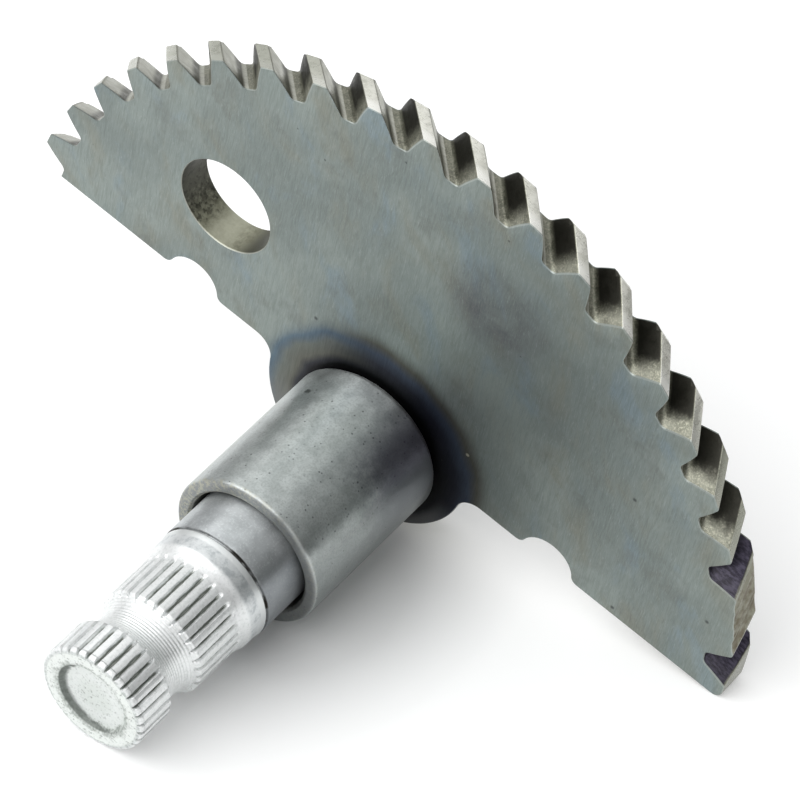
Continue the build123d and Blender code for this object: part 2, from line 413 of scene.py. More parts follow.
def flat_face(rings, firsts, first_new):
    """Triangles that fill the first ring and leave the others open, and the inner points that they
    need. Points that coincide are passed over. firsts gives each ring's first number in the mesh,
    and first_new the first inner point's."""
    same_place = 1e-4
    numbers, edges, kept = [], [], []
    for ring, first in zip(rings, firsts):
        use = np.flatnonzero(lengths(np.roll(ring, -1, 0) - ring) > same_place)
        order = np.arange(len(use)) + sum(map(len, kept))
        edges.append(np.stack([order, np.roll(order, -1)], 1))
        kept.append(ring[use, :2])
        numbers.append(first + use)
    lattice = lattice_inside(kept)
    places = np.concatenate([*kept, lattice])
    numbers = np.concatenate([*numbers, first_new + np.arange(len(lattice))])
    # The call's last three values: keep all faces, merge within 1e-6, say where each spot is from.
    spots, _, faces, sources, _, _ = delaunay_2d_cdt(
        [Vector(place) for place in places], np.concatenate(edges).tolist(), [], 0, 1e-6, True)
    spots, faces = np.array([list(spot) for spot in spots]), np.array(faces)
    source = np.array([ids[0] if ids else lengths(places - spot).argmin()
                       for spot, ids in zip(spots, sources)])
    corners = source[faces]
    inside = inside_rings(spots[faces].mean(1), kept)
    inside &= (np.diff(np.sort(corners, 1), axis=1) > 0).all(1)
    level = np.full(len(lattice), rings[0][0, 2])
    return numbers[corners[inside]], np.column_stack([lattice, level])


walls = (rim, plate_hole, seat_bore)
starts = np.cumsum([0, columns * len(rim), hole_sides * len(plate_hole)])
points = np.concatenate([row for wall in walls for row in wall])
quads = np.concatenate([
    grid_quads(len(wall), len(wall[0]), first=start) for wall, start in zip(walls, starts)])
faces = []
for row in (0, -1):
    firsts = [start + row % len(wall) * len(wall[0]) for wall, start in zip(walls, starts)]
    face, inner_points = flat_face([wall[row] for wall in walls], firsts, len(points))
    points = np.concatenate([points, inner_points])
    faces.append(face)
triangles = np.concatenate(faces)
print("face triangles:", len(triangles), "plate points:", len(points))


# %% Values that the finish reads
def on_rim(values):
    """The rim's own values, row by row, then 0 for each point of the holes and the faces."""
    return np.concatenate([values, np.zeros(len(points) - len(values))])


column_facing, column_height = np.zeros(columns), np.ones(columns)
column_facing[:len(rim_facing)] = rim_facing
column_height[:len(rim_radii)] = (rim_radii - root_radius) / (tip_radius - root_radius)
worn_rows = np.array([0.0, 1.0, 0.9] + [0.0] * (len(rim) - 5) + [0.5, 0.0])
sector_values = {
    "worn_edge": on_rim(np.repeat(worn_rows, columns)),
    "tooth_side": on_rim(np.tile(column_facing, len(rim))),
    "tooth_height": on_rim(np.tile(column_height, len(rim))),
    "depth": -points[:, 2] / plate_thickness,
}
GROUND, HOBBED, DRILLED = 0, 1, 2
face_row = np.arange((len(rim) - 1) * columns) // columns
on_bevel = (face_row < 2) | (face_row >= len(rim) - 3)
face_finishes = np.concatenate([
    np.where(on_bevel, GROUND, HOBBED), np.full(len(quads) - len(face_row), DRILLED),
    np.full(len(triangles), GROUND)])
sector = make_piece("sector_plate", points, quads, 20.0, triangles, sector_values, face_finishes)
sector_box = [in_room(points).min(0), in_room(points).max(0)]
print("sector box in metres:", np.round(sector_box, 4).tolist())

# %% [markdown]
# ## Turned pieces
#
# The shaft and the sleeve are lathe work: a profile of radius against length, carried round a
# circle. The splines are cut afterwards on the real shaft, and here too: at each angle the radius is
# the smaller of the turned one and the groove's own. That single rule also makes the round noses of
# the ridges, where the lever bolt's neck cuts across them.


# %% Profiles with rounded corners
def rounded_profile(corners, steps=4):
    """A profile from corners (radius, length, rounding): each corner is replaced by a short curve
    that starts and ends at the rounding's distance from it."""
    corners = [np.array(c, float) for c in corners]
    out = [corners[0][None, :2]]
    for before, here, after in zip(corners, corners[1:], corners[2:]):
        if here[2] <= 0:
            out.append(here[None, :2])
            continue
        way_in, way_out = before[:2] - here[:2], after[:2] - here[:2]
        way_in = way_in / max(lengths(way_in), 1e-9)
        way_out = way_out / max(lengths(way_out), 1e-9)
        start, end = here[:2] + way_in * here[2], here[:2] + way_out * here[2]
        out.append(bend(start, here[:2], end, steps))
    out.append(corners[-1][None, :2])
    return np.concatenate(out)


def turned(profile, angles):
    """Points of a profile carried round the shaft's axis, one row for each profile point."""
    r, s = profile[:, 0][:, None], profile[:, 1][:, None]
    a = np.radians(angles)[None, :]
    return np.stack([r * np.cos(a), r * np.sin(a), s + 0 * a], -1)


corner_try = rounded_profile([(0, 0, 0), (1, 0, 0.5), (1, 1, 0)])
print("a rounded corner:", corner_try.round(2).tolist())

# %% Sleeve
sleeve_radius, sleeve_bore, sleeve_length = 9.2, 7.5, 21.0
foot_chamfer, bore_chamfer = 0.6, 0.35
seam = (sleeve_bore, 3.0, 0)
sleeve_profile = rounded_profile([
    seam, (sleeve_bore, 0, 0), (sleeve_radius - foot_chamfer, 0, 0),
    (sleeve_radius, foot_chamfer, 0.25), (sleeve_radius, 10.0, 0),
    (sleeve_radius, sleeve_length, 0.55), (8.2, sleeve_length, 0.12),
    (sleeve_bore + bore_chamfer, sleeve_length, 0.1),
    (sleeve_bore, sleeve_length - bore_chamfer, 0.1), seam], 6)[:-1]
sleeve_angles = np.linspace(0, 360, 193)[:-1]
sleeve_points = turned(sleeve_profile, sleeve_angles)
sleeve = make_piece(
    "spring_sleeve_tube", sleeve_points.reshape(-1, 3),
    grid_quads(len(sleeve_profile), len(sleeve_angles), closed=True), 32.0)

# %% Shaft profile
stub, journal, ring_groove, collar, spline = 6.0, 7.05, 6.75, 6.9, 6.5
stub_chamfer, journal_end, spline_start, tip = 0.5, 26.2, 30.55, 46.3
neck_start, neck_length, neck_depth = 36.55, 5.0, 1.15
# The neck is a circle's arc through its two ends and its deepest point.
neck_hollow = ((neck_length / 2) ** 2 + neck_depth**2) / (2 * neck_depth)
neck_x = np.linspace(-1, 1, 25) * neck_length / 2
neck_radii = spline - (np.sqrt(neck_hollow**2 - neck_x**2) - (neck_hollow - neck_depth))
neck_curve = np.stack([neck_radii, neck_start + neck_length / 2 + neck_x], 1)
foot_to_neck = rounded_profile([
    (0, -plate_thickness, 0), (stub - stub_chamfer, -plate_thickness, 0.1),
    (stub, stub_chamfer - plate_thickness, 0.1), (stub, 0, 0), (journal, 0, 0), (journal, 24.0, 0),
    (journal, journal_end, 0.08), (ring_groove, journal_end + 0.06, 0.05),
    (ring_groove, journal_end + 0.3, 0.05), (journal - 0.02, journal_end + 0.35, 0.1),
    (collar, 27.25, 0.12), (collar, 28.85, 0.2), (6.62, 29.6, 0.3),
    (spline, spline_start - 0.2, 0.2), (spline, spline_start, 0), (spline, spline_start + 0.4, 0),
    *[(spline, station, 0) for station in np.linspace(spline_start + 0.8, neck_start, 13)]])
neck_to_tip = rounded_profile([
    *[(spline, station, 0) for station in np.linspace(neck_start + neck_length, 45.5, 10)],
    (spline, tip, 0.62), (4.45, tip, 0.22), (4.0, tip - 0.6, 0.32), (2.6, tip - 0.62, 0),
    (1.2, tip - 0.55, 0), (0, tip - 0.52, 0)], 7)
shaft_profile = np.concatenate([foot_to_neck[:-1], neck_curve, neck_to_tip[1:]])
print("profile points:", len(shaft_profile))

# %% Spline grooves
spline_count, spline_clocking, groove_depth, samples = 32, 7.6, 0.5, 14
groove_step = 360 / spline_count
shaft_angles = spline_clocking + np.arange(spline_count * samples) * groove_step / samples


def soft_step(x, low, high):
    """0 below low, 1 above high, and a smooth rise between: 3t squared less 2t cubed."""
    t = np.clip((x - low) / (high - low), 0, 1)
    return t * t * (3 - 2 * t)


def groove_radius(stations, angles):
    """Radius left by the spline cutter: full depth in a groove's middle, nothing on a ridge, and it
    fades in over the last half millimetre towards the collar. Two sine waves along the shaft make
    each ridge's edge a little ragged under its thick zinc."""
    turns = (angles - spline_clocking) / groove_step
    number, share = np.round(turns), turns % 1
    from_middle = (np.minimum(share, 1 - share) * 2)[None, :]
    along = stations[:, None]
    ragged = 0.03 * np.sin(2.3 * along + 2.1 * number) + 0.02 * np.sin(6.1 * along + 4.7 * number)
    depth = groove_depth * (1 - soft_step(from_middle + ragged, 0.08, 0.42))
    depth += 0.04 * (1 - from_middle)
    fade_in = soft_step(along, spline_start - 0.35, spline_start + 0.25)
    clear_of_shaft = 10 * (1 - np.sign(fade_in))
    return spline - depth * fade_in + clear_of_shaft


shaft_points = turned(shaft_profile, shaft_angles)
turned_radius = shaft_profile[:, 0][:, None]
cut_radius = np.minimum(turned_radius, groove_radius(shaft_profile[:, 1], shaft_angles))
shaft_points[..., :2] *= (cut_radius / np.maximum(turned_radius, 1e-9))[..., None]
cut_depth = (turned_radius - cut_radius) / groove_depth
shaft = make_piece(
    "kick_shaft_turned", shaft_points.reshape(-1, 3),
    grid_quads(len(shaft_profile), len(shaft_angles)), 36.0, attributes={"cut_depth": cut_depth})
print("deepest groove:", round(float((turned_radius - cut_radius).max()), 3))

# %% [markdown]
# ## Steel finishes
#
# All three pieces are steel, but no two surfaces look alike: the ground plate has fine brush lines
# and a heat tint round the hub, the sleeve is satin and pitted, and the splined end is bright zinc
# with dirt in its grooves. Each finish is a small tree of nodes on Object coordinates, which a
# Mapping node turns into the plate's own millimetres, so patterns can follow the plate and shaft. It
# starts from a mix of two tones, and each further coat has its own share from 0 to 1.


# %% Node helpers
def linear(hex_colour):
    """A colour written as six hex digits, as Blender's linear red, green and blue."""
    c = np.array([int(hex_colour[i:i + 2], 16) / 255 for i in (0, 2, 4)])
    c = np.where(c <= 0.04045, c / 12.92, ((c + 0.055) / 1.055) ** 2.4)
    return (*c.tolist(), 1.0)


class Nodes:
    """A node tree, with short calls for the few nodes that this lesson needs."""

    def __init__(self, tree):
        self.tree = tree

    def wire(self, node, sockets):
        """Give each named or numbered socket its source: another node's output, a number, a tuple,
        or a colour in hex digits."""
        for key, source in sockets.items():
            if isinstance(source, str):
                source = linear(source)
            if isinstance(source, (int, float, tuple)):
                node.inputs[key].default_value = source
            else:
                self.tree.links.new(source, node.inputs[key])
        return node

    def node(self, kind, sockets, **settings):
        new = self.tree.nodes.new(kind)
        for key, value in settings.items():
            setattr(new, key, value)
        return self.wire(new, sockets)

    def math(self, operation, *values):
        return self.node("ShaderNodeMath", dict(enumerate(values)), operation=operation).outputs[0]

    def both(self, share, *others):
        """The product of shares: large only where each of them is."""
        for other in others:
            share = self.math("MULTIPLY", share, other)
        return share

    def ragged(self, value, noise, amount, middle=0.0):
        """The value with noise times amount added, so that a ramp on it gets a ragged edge."""
        if middle:
            noise = self.math("SUBTRACT", noise, middle)
        return self.math("ADD", value, self.both(noise, amount))

    def ramp(self, value, low, high, start=0.0, end=1.0, easing="SMOOTHSTEP"):
        """Value from low to high becomes start to end, held flat outside. Where low is the greater
        of the two, it falls instead."""
        return self.node("ShaderNodeMapRange", {
            "Value": value, "From Min": low, "From Max": high, "To Min": start, "To Max": end},
            interpolation_type=easing).outputs["Result"]

    def band(self, value, rise, full, fade, end):
        """1 from full to fade, easing to 0 at rise below and at end above."""
        return self.both(self.ramp(value, rise, full), self.ramp(value, end, fade))

    def stops(self, value, stops):
        """Colours or grey levels at certain values, blended in between."""
        low, high = stops[0][0], stops[-1][0]
        new = self.node("ShaderNodeValToRGB", {"Fac": self.ramp(value, low, high, easing="LINEAR")})
        elements = new.color_ramp.elements
        while len(elements) < len(stops):
            elements.new(0.5)
        for element, (at, tone) in zip(elements, stops):
            element.position = (at - low) / (high - low)
            element.color = linear(tone) if isinstance(tone, str) else (tone, tone, tone, 1)
        return new.outputs["Color"]

    def vector_math(self, operation, vector, other):
        """One number from a vector and a fixed one: their distance, or their dot product."""
        new = self.node("ShaderNodeVectorMath", {0: vector, 1: tuple(other)}, operation=operation)
        return new.outputs["Value"]

    def mapping(self, vector, kind="POINT", **sockets):
        """A vector scaled, turned and moved, or for the kind TEXTURE all that undone."""
        new = self.node("ShaderNodeMapping", {"Vector": vector, **sockets}, vector_type=kind)
        return new.outputs["Vector"]


print("grey 808080 is", round(linear("808080")[0], 4), "in linear light")


# %% A finish: coats of colour in plate coordinates
class Finish(Nodes):
    """One steel material. plate holds the plate's coordinates, colour the coats laid so far."""

    def __init__(self, name):
        self.material = bpy.data.materials.new(name)
        self.material.use_nodes = True
        super().__init__(self.material.node_tree)
        self.shader = self.tree.nodes["Principled BSDF"]
        self.plate = self.mapping(
            self.node("ShaderNodeTexCoord", {}).outputs["Object"], "TEXTURE",
            Location=tuple(shaft_foot * MM), Scale=(MM, MM, MM),
            Rotation=tuple(Matrix(plate_axes.T.tolist()).to_euler()))
        self.xyz = tuple(self.node("ShaderNodeSeparateXYZ", {0: self.plate}).outputs)

    def mix(self, share, first, second, blend="MIX"):
        return self.node("ShaderNodeMix", {0: share, 6: first, 7: second},
                         data_type="RGBA", blend_type=blend).outputs[2]

    def coat(self, share, tone, amount=1.0):
        """Lay a tone over the colour, by a share times an amount."""
        share = share if amount == 1.0 else self.both(share, amount)
        self.colour = self.mix(share, self.colour, tone)

    def noise(self, scale, detail=3.0, roughness=0.5, distortion=0.0, at=None):
        return self.node("ShaderNodeTexNoise", {
            "Vector": self.plate if at is None else at, "Scale": scale, "Detail": detail,
            "Roughness": roughness, "Distortion": distortion}).outputs["Fac"]

    def cells(self, scale):
        """Distance to the nearest of many scattered points."""
        new = self.node("ShaderNodeTexVoronoi", {"Vector": self.plate, "Scale": scale})
        return new.outputs["Distance"]

    def stretched(self, scale, turn=0, shift=(0, 0, 0)):
        """Plate coordinates turned about z in degrees, then scaled unevenly, for lines."""
        spun = self.mapping(self.plate, Rotation=(0, 0, radians(turn)), Location=shift)
        return self.mapping(spun, Scale=scale)

    def value(self, name):
        return self.node("ShaderNodeAttribute", {}, attribute_name=name).outputs["Fac"]

    def radius(self, center=(0.0, 0.0)):
        """Distance from a line along the shaft through a point of the plate."""
        dx, dy = (self.math("SUBTRACT", *pair) for pair in zip(self.xyz[:2], center))
        return self.math("SQRT", self.math("ADD", self.both(dx, dx), self.both(dy, dy)))

    def brushed(self, way, amount):
        """Ground or drawn steel: its scratches spread a reflection along one way, square to them."""
        line = self.node("ShaderNodeCombineXYZ", dict(enumerate(map(float, way))))
        self.wire(self.shader, {"Tangent": line.outputs[0], "Anisotropic": amount})

    def bump(self, height, strength, distance, under=None):
        """Small relief of a height in millimetres, over another relief if one is given."""
        below = {} if under is None else {"Normal": under}
        return self.node("ShaderNodeBump", {
            "Height": height, "Strength": strength, "Distance": distance * MM, **below,
        }).outputs["Normal"]

    def to_shader(self, metallic, roughness, normal):
        """Hand the colour, how metallic and how rough it is, and the relief to the shader."""
        self.wire(self.shader, {"Base Color": self.colour, "Metallic": metallic,
                                "Roughness": roughness, "Normal": normal})


print("finish helper ready")

# %% [markdown]
# The plate's face was ground, so its grain runs one way, nearly square to the straight edge. Joining
# the shaft heated it: the steel went blue, then straw, in rings that are wider on one side, and the
# near-black ring right at the sleeve is painted shade of the joint, partly heat tint. A ramp on the
# distance from the shaft's axis gives those rings, and a little noise keeps them from looking drawn
# with a compass.

# %% Ground plate steel
plate_steel = Finish("ground_plate_steel")
f = plate_steel
x, y, z = f.xyz
grain = f.noise(1.0, 4.0, 0.62, 1.2, at=f.stretched((5.5, 0.35, 1.0), -5, (0, 0, 0.4)))
fine_grain = f.noise(1.0, 3.0, 0.65, 1.2, at=f.stretched((11.0, 0.9, 1.0), -9, (0, 0, 0.6)))
cloud = f.noise(0.055, 3.0, 0.55)
patch = f.noise(1.0, 4.0, 0.6, 0.4, at=f.stretched((0.16, 0.07, 1.0), -25, (7, 3, 0)))
blotch = f.noise(0.19, 5.0, 0.62, 0.3)
f.colour = f.mix(f.ramp(cloud, 0.38, 0.62), "7b8481", "8b9490")
f.coat(f.ramp(patch, 0.5, 0.7, 0.0, 0.5), "817f70")
f.coat(f.ramp(patch, 0.47, 0.3, 0.0, 0.5), "7c8f9b")
f.coat(f.ramp(blotch, 0.52, 0.68, 0.0, 0.35), "6a6c68")
violet = f.both(f.ramp(f.radius((8.0, 31.0)), 8.5, 1.5), f.ramp(blotch, 0.35, 0.6, 0.35, 1.0))
f.coat(violet, "4c4850", 0.6)
f.coat(f.ramp(x, 38.0, 44.0, 0.0, 0.15), "a8b0a6")
f.coat(f.ramp(grain, 0.38, 0.7, 0.0, 0.26), "525a57")
f.coat(f.ramp(fine_grain, 0.52, 0.75, 0.0, 0.3), "b7bebb")
print("clouds, patches, then grain")

# %% Heat tint and painted shade round the sleeve
away = f.radius()
tint_radius = f.ragged(away, f.noise(0.22, 2.0), 1.5, middle=0.5)
on_left = f.ramp(f.math("DIVIDE", x, f.math("MAXIMUM", away, 1.0)), -0.1, -0.95)
# The first stops, near black, are painted shade of the joint at the sleeve's foot, partly heat tint.
rings_right = ((9.3, "0b0b0d"), (10.3, "15161d"), (11.6, "20232f"),
               (13.2, "3d4656"), (14.4, "54544d"), (17.0, "7b8481"))
rings_left = ((9.3, "121216"), (9.9, "34353b"), (10.8, "66675f"),
              (12.2, "6c716c"), (13.5, "54697a"), (15.4, "7b8481"))
tint_and_shade = f.mix(on_left, f.stops(tint_radius, rings_right), f.stops(tint_radius, rings_left))
grain_shade = f.mix(f.ramp(grain, 0.3, 0.7, 0.0, 0.25), "ffffff", "9a9a9a")
tint_and_shade = f.mix(1.0, tint_and_shade, grain_shade, "MULTIPLY")
on_lobe = f.both(f.ramp(y, 0.0, -6.0), f.ramp(away, 9.8, 11.0, 0.0, 0.62))
tint_and_shade = f.mix(on_lobe, tint_and_shade, "7b7c7c")
inside = f.ramp(f.ragged(tint_radius, on_left, 1.4), 17.0, 14.2)
on_front = f.ramp(z, -2.0, -1.0)
f.coat(f.both(inside, on_front), tint_and_shade)
print("tint reaches", rings_right[-1][0], "mm right and", rings_left[-1][0], "mm left")

# %% Nicks, specks and worn edges
f.coat(f.ramp(f.cells(0.22), 0.04, 0.022), "2f3130", 0.55)
glint = (11.1, 8.8)
nicks = ((-10.3, 11.2), (42.0, 12.0), (29.4, 21.0), (32.4, 3.4))
# A painted highlight: one small bright glint.
f.coat(f.ramp(f.radius(glint), 0.3, 0.1), "b9b5a2", 0.8)
for center in nicks:
    f.coat(f.ramp(f.radius(center), 0.36, 0.08), "26282a", 0.7)
worn = f.ragged(f.value("worn_edge"), f.noise(2.2, 3.0), 0.6)
f.coat(f.ramp(worn, 0.75, 1.35, 0.0, 0.5), "b3b8b2")
f.brushed(plate_right, 0.6)
scratches = f.bump(fine_grain, 0.3, 0.01, f.bump(grain, 0.3, 0.014))
f.to_shader(0.92, f.ramp(grain, 0.2, 0.8, 0.38, 0.5), scratches)
print("one glint and", len(nicks), "nicks")

# %% [markdown]
# The teeth were hobbed and never ground: their tips are clean and bright. One flank of each tooth
# gets painted shade and a dark painted reflection, fading out near the front face, and the other
# painted light. The low corner is painted darker still, nearly purple. The mesh carries each point's
# place on its tooth, so the painted shade can follow it.

# %% Hobbed tooth steel
tooth_steel = Finish("hobbed_tooth_steel")
f = tooth_steel
x, y, _ = f.xyz
mottle = f.noise(0.9, 5.0, 0.65)
scuffs = f.noise(1.0, 4.0, 0.6, at=f.stretched((1.2, 1.2, 5.0)))
side, height, depth = f.value("tooth_side"), f.value("tooth_height"), f.value("depth")
flank = f.mix(f.ramp(mottle, 0.35, 0.65), "6d6e62", "8f9083")
land = f.mix(f.ramp(mottle, 0.35, 0.65), "cdcdc3", "e4e4db")
on_land = f.ramp(height, 0.982, 0.998)
f.colour = f.mix(on_land, flank, land)
f.coat(f.ramp(scuffs, 0.5, 0.75, 0.0, 0.45), "6f7067")
# Painted highlight on the lands, strongest near the front face.
near_front = f.ramp(f.ragged(depth, mottle, 0.25), 0.5, 0.26)
f.coat(f.both(on_land, near_front), "f0f0ea", 0.9)
# Painted shade on the lands at the right end of the rim; the lands at the left end are made duller.
far_left, far_right = f.ramp(x, -12.0, -24.0, 0.0, 0.7), f.ramp(x, 29.5, 33.5, 0.0, 0.85)
f.coat(f.both(on_land, far_left), f.mix(mottle, "84877a", "a2a597"))
f.coat(f.both(on_land, far_right), f.mix(mottle, "6c6e60", "8a8c7d"))
pepper = f.ramp(f.noise(5.0, 3.0, 0.7), 0.47, 0.62, 0.0, 0.5)
f.coat(f.both(pepper, f.ramp(on_land, 1.0, 0.0)), "b4b2a2")
print("lands brighter than flanks, duller at both ends of the rim")

# %% Painted shade, painted light and rust on the teeth
# Painted shade and a dark painted reflection on one flank, fading out towards the front face.
ragged_depth = f.ragged(depth, mottle, 0.5, middle=0.5)
flank_shade = f.both(f.ramp(ragged_depth, 0.12, 0.45), f.band(height, 0.05, 0.22, 0.95, 0.99),
              f.ramp(side, -0.2, -0.6))
f.coat(flank_shade, "2b2a25", 0.97)
# Painted light on the other flank, broken up by the scuffs.
lit_flank_side = f.ramp(side, 0.3, 0.7)
flank_light = f.both(lit_flank_side, f.ramp(height, 0.97, 0.9), f.ramp(scuffs, 0.35, 0.6, 0.6, 0.9))
f.coat(flank_light, "c6c7bd")
# Painted shade low on that flank, near the root.
f.coat(f.both(lit_flank_side, f.band(height, 0.02, 0.08, 0.2, 0.42)), "34342e", 0.7)
# Painted shade, nearly purple, in the tooth spaces at the low corner.
low_corner = f.ramp(f.math("SUBTRACT", x, f.both(y, 0.75)), 21.5, 24.5)
purple = f.mix(f.ramp(scuffs, 0.35, 0.65), "2d2a35", "4b4756")
f.coat(f.both(low_corner, f.ramp(height, 0.99, 0.9)), purple, 0.94)
crown_rust = f.mix(f.ramp(f.noise(0.8, 4.0, 0.6), 0.4, 0.62), "8a897b", "6c6656")
f.coat(f.ramp(side, 1.4, 1.9), crown_rust)
smoother_land = f.ramp(on_land, 0.0, 1.0, 0.0, 0.16)
roughness = f.math("SUBTRACT", f.ramp(mottle, 0.3, 0.7, 0.36, 0.55), smoother_land)
hobbed = f.bump(f.noise(3.2, 4.0, 0.6), 0.35, 0.05, f.bump(scuffs, 0.3, 0.03))
f.to_shader(f.ramp(on_land, 0.0, 1.0, 0.85, 0.5), roughness, hobbed)
print("dark film on one flank, clean steel on the other")

# %% [markdown]
# The spring's hole was drilled. Its wall is dark and crusted at the left, has a painted highlight in
# the middle and painted shade at the right, and its front lip is polished. The places go by the
# plate's x.

# %% Wall of the hole
wall_steel = Finish("drilled_wall_steel")
f = wall_steel
x = f.xyz[0]
mottle = f.noise(1.3, 6.0, 0.7)
f.colour = f.mix(f.ramp(mottle, 0.35, 0.65), "828270", "a2a390")
f.coat(f.ramp(f.ragged(x, mottle, 4.0), -24.6, -27.2), "3d3d37", 0.88)
# Painted shade on the right of the wall.
f.coat(f.ramp(f.ragged(x, mottle, 3.0), -20.4, -18.2), "3a3c38", 0.75)
# A painted highlight across the middle of the wall.
f.coat(f.band(x, -26.4, -24.8, -23.4, -21.8), "c2c3b0", 0.6)
crust = f.both(f.ramp(f.noise(2.2, 4.0), 0.52, 0.62), f.ramp(x, -25.4, -27.0, 0.08, 1.0))
f.coat(crust, "2f2f29", 0.6)
f.coat(f.ramp(f.radius(hole_center), hole_radius + 0.01, hole_radius + 0.05), "b9bcb4", 0.7)
f.to_shader(0.85, 0.45, f.bump(mottle, 0.3, 0.04))
print("hole from x =", round(hole_center[0] - hole_radius, 1), "to",
      round(hole_center[0] + hole_radius, 1))

# %% [markdown]
# The sleeve is drawn tube, satin and a little pitted. Small pits come from a Voronoi pattern: the
# distance to the nearest cell point, kept only where it is tiny.

# %% Satin sleeve steel
sleeve_steel = Finish("satin_sleeve_steel")
f = sleeve_steel
x, y, z = f.xyz
satin = f.noise(0.6, 5.0, 0.65)
rings = f.noise(1.0, 2.0, at=f.stretched((0.4, 0.4, 7.0)))
sparse = f.ramp(f.noise(0.5, 3.0), 0.42, 0.58)
pits = f.both(f.ramp(f.cells(1.3), 0.18, 0.11), sparse)
f.colour = f.mix(f.ramp(satin, 0.35, 0.65), "b3b8b7", "c3c8c7")
f.coat(f.ramp(f.noise(4.5, 3.0, 0.6), 0.42, 0.68, 0.0, 0.4), "8f9493")
f.coat(pits, "3b3b3d", 0.6)
from_stain = f.vector_math("DISTANCE", f.plate, (-6.33, 6.68, 4.79))
f.coat(f.ramp(f.ragged(from_stain, f.noise(2.6, 3.0), 0.8), 0.95, 0.6), "3a3a36", 0.75)
# Painted reflection of the plate's heat tint, violet, low on the sleeve's right and near the plate.
tint_reflection_side = f.both(f.ramp(x, 0.5, 5.5), f.ramp(y, -3.0, 4.0))
f.coat(f.both(f.ramp(f.ragged(z, satin, 4.0), 16.0, 7.5), tint_reflection_side), "4f4b5c", 0.8)
on_outside = f.ramp(f.radius(), sleeve_radius - 0.1, sleeve_radius - 0.02)
# Painted dark reflection along the right of the sleeve.
f.coat(f.both(f.ramp(x, 6.4, 8.2, 0.0, 0.6), on_outside), "6d7372")
f.coat(f.ramp(f.radius(), sleeve_bore + 0.45, sleeve_bore + 0.2), "5c564c", 0.55)
f.coat(f.ramp(z, sleeve_length - 0.25, sleeve_length - 0.05, 0.0, 0.7), "77797b")
aged = f.both(f.ramp(z, sleeve_length - 0.7, sleeve_length - 0.2),
              f.ramp(f.noise(2.0, 5.0, 0.75), 0.46, 0.58))
f.coat(f.both(aged, f.ramp(x, 5.0, -6.0, 0.2, 0.75)), "b4b3a2")
f.brushed(shaft_way, 0.92)
relief = f.bump(pits, 0.3, -0.02, f.bump(satin, 0.06, 0.03, f.bump(rings, 0.08, 0.01)))
f.to_shader(0.95, f.ramp(satin, 0.3, 0.7, 0.34, 0.4), relief)
print("sleeve", sleeve_length, "mm long, warm from 7.5 mm down to the plate")

# %% [markdown]
# One piece of steel carries three finishes along its length: the ground journal, the collar, and the
# zinc-plated splines with dirt in their grooves. The length along the shaft picks the finish, and
# the groove depth saved with each point places the dirt.

# %% Shaft finish, from the journal to the splines
shaft_finish = Finish("ground_and_zinc_plated_steel")
f = shaft_finish
x, y, z = f.xyz
neck_from, neck_to = 36.5, 41.6
stain = f.noise(1.1, 5.0, 0.65)
grit = f.noise(3.4, 4.0, 0.6)
ground = f.mix(f.ramp(f.noise(0.6, 3.0), 0.35, 0.65), "b4b8ba", "c4c8ca")
ground = f.mix(f.ramp(f.noise(4.0, 3.0, 0.65), 0.5, 0.68, 0.0, 0.5), ground, "dde2e2")
shaded_side = f.both(f.ramp(x, 3.6, 5.4, 0.0, 0.62), f.ramp(y, 6.6, 5.6))
ground = f.mix(shaded_side, ground, "6a6e73")
bare = f.mix(f.ramp(stain, 0.42, 0.68), "e2e5e6", "c2c7c9")
plated = f.mix(f.ramp(grit, 0.45, 0.7, 0.0, 0.5), "f0f2f2", "cdd2d0")
on_splines = f.math("ADD", f.ramp(z, neck_from, 36.0), f.ramp(z, neck_to, 42.0))
dirt = f.both(f.ramp(f.ragged(f.value("cut_depth"), grit, 0.35), 0.55, 1.1), on_splines)
plated = f.mix(f.both(dirt, 0.8), plated, "767c72")
f.colour = f.mix(f.ramp(z, 28.6, 29.1), bare, plated)
f.coat(f.band(z, 26.5, 26.6, 27.2, 27.35), "dfe2e2")
f.coat(f.ramp(z, 26.32, 26.2), ground)
residue = f.ramp(f.noise(0.5, 2.0), 0.45, 0.62, 0.3, 0.95)
f.coat(f.both(f.band(z, 26.1, 26.2, 26.5, 26.66), residue), "35312b")
print("journal ends at", journal_end, "mm, neck from", neck_from, "to", neck_to)

# %% The shaft's end face
away = f.radius()
face_tone = f.mix(f.ramp(away, 4.35, 4.1, 0.0, 0.5), "eaeeeb", "ccd2ce")
marks = f.ramp(f.noise(1.7, 6.0, 0.75), 0.5, 0.64)
flecks = f.both(f.ramp(grit, 0.52, 0.66), f.ramp(marks, 0.0, 1.0, 0.25, 1.0))
face_tone = f.mix(f.both(flecks, 0.62), face_tone, "6d736d")
jagged = f.noise(1.1, 5.0, 0.75)
scar = f.band(f.ragged(away, jagged, 2.4), 5.0, 5.3, 5.7, 6.3)
face_tone = f.mix(f.both(scar, f.ramp(grit, 0.35, 0.6, 0.25, 0.75)), face_tone, "8f9690")
# Painted shade on the dish's visible wall: a crescent off the centre.
dish_edge = f.ramp(f.ragged(f.radius((0.6, 0.5)), jagged, 1.2), 4.6, 5.1)
dish_wall_shade = f.both(dish_edge, f.ramp(away, 4.45, 4.3))
face_tone = f.mix(f.both(dish_wall_shade, 0.8), face_tone, "565c57")
end_face = f.ramp(z, 45.6, 45.75)
f.coat(f.both(end_face, f.ramp(away, 6.1, 5.8)), face_tone)
rim_line = f.both(f.ramp(z, 45.7, 45.9), f.band(away, 5.75, 5.95, 6.1, 6.35))
f.coat(f.both(rim_line, f.ramp(grit, 0.35, 0.6, 0.2, 0.5)), "9aa39f")
print("flecks, a broken ring and dirt in the dish")

